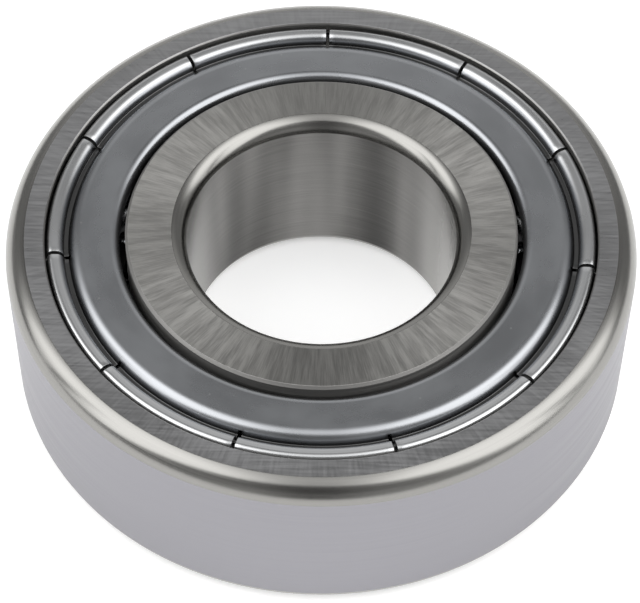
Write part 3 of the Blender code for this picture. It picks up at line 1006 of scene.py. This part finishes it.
def opal_acrylic(colours, glow):
    """Opal acrylic of a light table: white and even, matt, with a soft glow from below."""
    material = bpy.data.materials.new("opal_acrylic")
    material.use_nodes = True
    tree = material.node_tree
    surface = tree.nodes["Principled BSDF"]
    surface.inputs["Base Color"].default_value = linear(colours.floor)
    surface.inputs["Specular IOR Level"].default_value = 0.1
    surface.inputs["Emission Color"].default_value = linear(colours.floor)
    surface.inputs["Emission Strength"].default_value = glow
    place = add(tree, "TexCoord").outputs["Object"]
    grain = add(tree, "TexNoise", {"Scale": 0.2 / MM}, {"Vector": place}).outputs["Fac"]
    matt = {"From Min": 0.3, "From Max": 0.7, "To Min": 0.75, "To Max": 0.85}
    rough = add(tree, "MapRange", matt, {"Value": grain})
    tree.links.new(rough.outputs["Result"], surface.inputs["Roughness"])
    return material


def light_bands(tree, stage, lean):
    """A socket for the brightness at each lean, which runs from straight behind to straight in front."""
    upper_front = stage.front * 0.6
    half_turn = {"From Min": -math.pi, "From Max": math.pi}
    ramp = add(tree, "ValToRGB", links={0: add(tree, "MapRange", half_turn, {0: lean}).outputs[0]})
    stops = ramp.color_ramp.elements
    bands = (
        (-90, stage.backdrop),
        (-46, stage.backdrop),
        (-36, stage.upper_back),
        (-24, stage.upper_back),
        (-10, stage.softbox * 0.5),
        (-4, stage.softbox),
        (27, stage.softbox),
        (33, upper_front),
        (58, upper_front),
        (68, stage.front),
    )
    while len(stops) < len(bands):
        stops.new(1.0)
    for stop, (degrees, level) in zip(stops, bands):
        stop.position = 0.5 + degrees / 360
        stop.color = (level, level, level, 1.0)
    return ramp.outputs["Color"]


def soft_light(scene, stage):
    """Plain studio surroundings: a wide soft box overhead, a bright backdrop, and a dim room before them.

    Brightness follows the angle from the zenith towards the camera, and evens out to either side.
    """
    world = bpy.data.worlds.new("studio")
    world.use_nodes = True
    scene.world = world
    tree = world.node_tree
    direction = add(tree, "TexCoord").outputs["Generated"]
    parts = add(tree, "SeparateXYZ", links={0: direction}).outputs
    forward = add(tree, "Math", {"operation": "MULTIPLY", 1: -1.0}, {0: parts["Y"]}).outputs[0]
    lean = add(tree, "Math", {"operation": "ARCTAN2"}, {0: forward, 1: parts["Z"]}).outputs[0]
    aside = add(tree, "Math", {"operation": "ABSOLUTE"}, {0: parts["X"]}).outputs[0]
    # The box overhead widens to either side, both away from the camera and towards it.
    edges = {"From Min": math.radians(-10), "From Max": math.radians(10)}
    edges.update({"To Min": stage.widening, "To Max": -stage.widening})
    pull = add(tree, "MapRange", edges, {"Value": lean}).outputs["Result"]
    squared = add(tree, "Math", {"operation": "MULTIPLY"}, {0: aside, 1: aside}).outputs[0]
    bowed = add(tree, "Math", {"operation": "MULTIPLY_ADD"}, {0: squared, 1: pull, 2: lean}).outputs[0]
    # The box overhead is made of two rows of lamps, so its middle is dimmer than either side of it.
    rows = {**SMOOTH, "From Min": 0.02, "From Max": 0.35}
    rows.update({"To Min": stage.middle, "To Max": 1.2})
    fuller = add(tree, "MapRange", rows, {"Value": aside}).outputs["Result"]
    overhead = {"From Min": math.radians(-25), "From Max": math.radians(-8), "To Min": 1.0}
    strength = add(tree, "MapRange", overhead, {"Value": bowed, "To Max": fuller})
    # The backdrop is a panel, narrower than the box overhead.
    behind = {"From Min": math.radians(-40), "From Max": math.radians(-15)}
    start = add(tree, "MapRange", {**behind, "To Min": 0.25, "To Max": 0.8}, {"Value": bowed}).outputs[0]
    end = add(tree, "MapRange", {**behind, "To Min": 0.6, "To Max": 1.15}, {"Value": bowed}).outputs[0]
    edges = {"Value": aside, "From Min": start, "From Max": end}
    sideways = add(tree, "MapRange", SMOOTH, edges).outputs[0]
    side = {"data_type": "RGBA", 7: (stage.side, stage.side, stage.side, 1.0)}
    light = add(tree, "Mix", side, {0: sideways, 6: light_bands(tree, stage, bowed)})
    background = tree.nodes["Background"]
    tree.links.new(light.outputs[2], background.inputs["Color"])
    tree.links.new(strength.outputs["Result"], background.inputs["Strength"])


def camera(scene, stage):
    """The camera on its sphere round the bearing, aimed a little below the centre."""
    rise, turn = stage.elevation, stage.azimuth
    back = Vector((math.sin(turn) * math.cos(rise), -math.cos(turn) * math.cos(rise), math.sin(rise)))
    view = (-back).to_track_quat("-Z", "Y") @ Quaternion((0.0, 0.0, 1.0), stage.roll)
    aim = view @ Vector((-stage.aim_left, -stage.aim_down, 0.0))
    data = bpy.data.cameras.new("camera")
    data.lens = stage.lens
    data.clip_start = CLIP_START
    obj = bpy.data.objects.new("camera", data)
    obj.rotation_mode = "QUATERNION"
    obj.rotation_quaternion = view
    obj.location = aim + back * stage.distance
    scene.collection.objects.link(obj)
    scene.camera = obj


class BEARING_PT_builder(bpy.types.Panel):
    """The bearing's pieces and their sizes"""

    bl_idname = "BEARING_PT_builder"
    bl_label = "Ball Bearing"
    bl_space_type = "VIEW_3D"
    bl_region_type = "UI"
    bl_category = "Bearing"

    def draw(self, context):
        for operator in OPERATORS:
            self.layout.operator(operator.bl_idname)
        for name, group in GROUPS:
            box = self.layout.box()
            box.label(text=group.__doc__)
            settings = getattr(context.scene, name)
            for key in group.__annotations__:
                box.prop(settings, key)


OPERATORS = (
    BEARING_OT_stage,
    BEARING_OT_outer_ring,
    BEARING_OT_inner_ring,
    BEARING_OT_shields,
    BEARING_OT_balls,
    BEARING_OT_cage,
)


def register():
    for name, group in GROUPS:
        bpy.utils.register_class(group)
        setattr(bpy.types.Scene, name, PointerProperty(type=group))
    for cls in (*OPERATORS, BEARING_PT_builder):
        bpy.utils.register_class(cls)


def unregister():
    for cls in (BEARING_PT_builder, *reversed(OPERATORS)):
        bpy.utils.unregister_class(cls)
    for name, group in reversed(GROUPS):
        delattr(bpy.types.Scene, name)
        bpy.utils.unregister_class(group)


def main():
    register()
    bpy.ops.bearing.stage()
    bpy.ops.bearing.outer_ring()
    bpy.ops.bearing.inner_ring()
    bpy.ops.bearing.shields()
    bpy.ops.bearing.balls()
    bpy.ops.bearing.cage()


if __name__ == "__main__":
    main()
